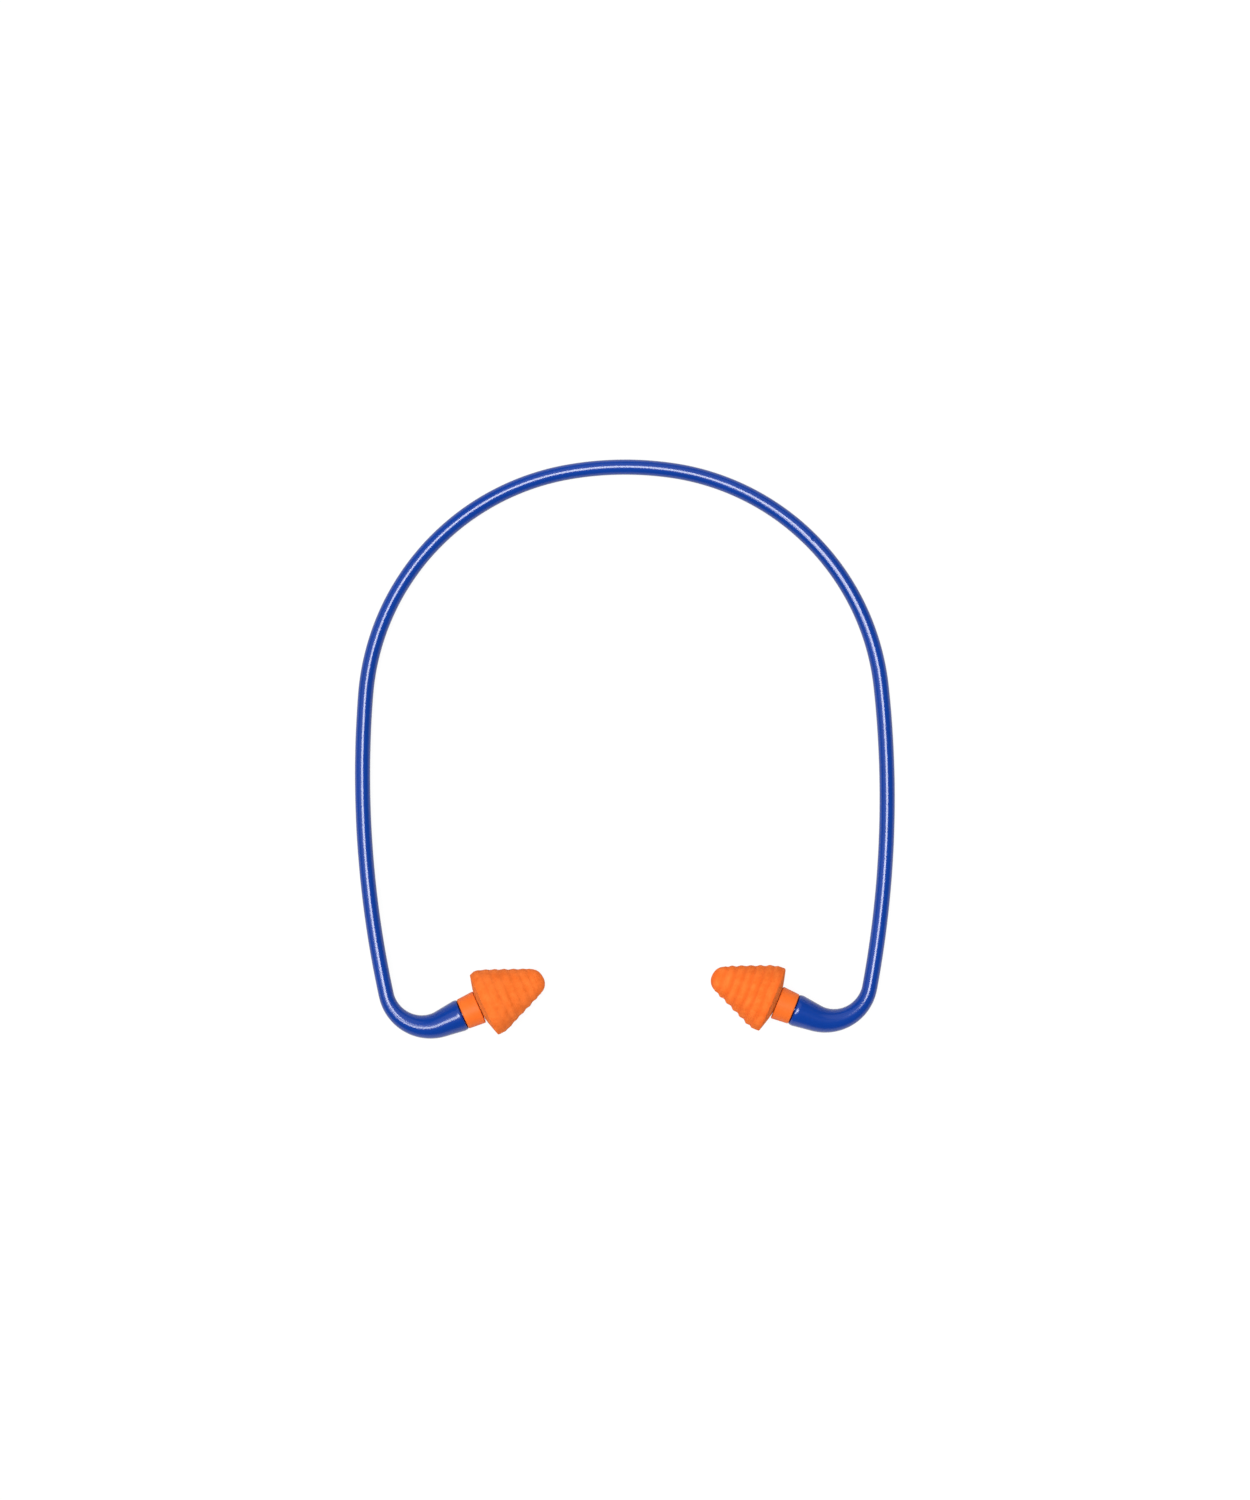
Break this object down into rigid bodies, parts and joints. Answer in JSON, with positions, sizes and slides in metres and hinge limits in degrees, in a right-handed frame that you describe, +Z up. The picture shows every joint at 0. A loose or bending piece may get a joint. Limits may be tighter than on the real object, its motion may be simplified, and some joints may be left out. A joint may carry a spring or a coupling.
{
  "type": "banded ear plugs",
  "caption": "Banded ear plugs: a glossy round spring band that curls in at both ends to ribbed conical foam pods on short stems.",
  "frame": {"origin": "centre of the bounding box on the table that the part lies on", "axes": "+X from the left pod to the right pod, +Y from the pods to the crown of the band, +Z up from the table"},
  "size_m": [0.1348, 0.1438, 0.0165],
  "materials": {
    "band_plastic": "gloss",
    "stem_plastic": "satin",
    "pod_foam": "matte"
  },
  "bodies": {
    "band_crown": {"band_crown": "band_plastic"},
    "left_band_arm": {"left_band_arm": "band_plastic"},
    "right_band_arm": {"right_band_arm": "band_plastic"},
    "left_stem": {"left_stem": "stem_plastic"},
    "right_stem": {"right_stem": "stem_plastic"},
    "left_foam_pod": {"left_foam_pod": "pod_foam"},
    "right_foam_pod": {"right_foam_pod": "pod_foam"}
  },
  "joints": [
    {"name": "left_arm_flex", "type": "hinge", "parent": "band_crown", "child": "left_band_arm", "pos_m": [-0.04281, 0.05546, 0.00241], "axis": [0, -0.0384, -0.9993], "range_deg": [-9, 25], "stiffness_Nm_per_rad": 0.2},
    {"name": "right_arm_flex", "type": "hinge", "parent": "band_crown", "child": "right_band_arm", "pos_m": [0.04281, 0.05546, 0.00241], "axis": [0, 0.0384, 0.9993], "range_deg": [-9, 25], "stiffness_Nm_per_rad": 0.2},
    {"name": "left_stem_spin", "type": "hinge", "parent": "left_band_arm", "child": "left_stem", "pos_m": [-0.04135, -0.0661, 0.00801], "axis": [0.9202, 0.3897, 0.0364], "continuous": true},
    {"name": "left_pod_pull", "type": "slide", "parent": "left_stem", "child": "left_foam_pod", "axis": [0.9202, 0.3897, 0.0364], "range_m": [0, 0.012]},
    {"name": "right_stem_spin", "type": "hinge", "parent": "right_band_arm", "child": "right_stem", "pos_m": [0.04135, -0.0661, 0.00801], "axis": [-0.9202, 0.3897, 0.0364], "continuous": true},
    {"name": "right_pod_pull", "type": "slide", "parent": "right_stem", "child": "right_foam_pod", "axis": [-0.9202, 0.3897, 0.0364], "range_m": [0, 0.012]}
  ]
}
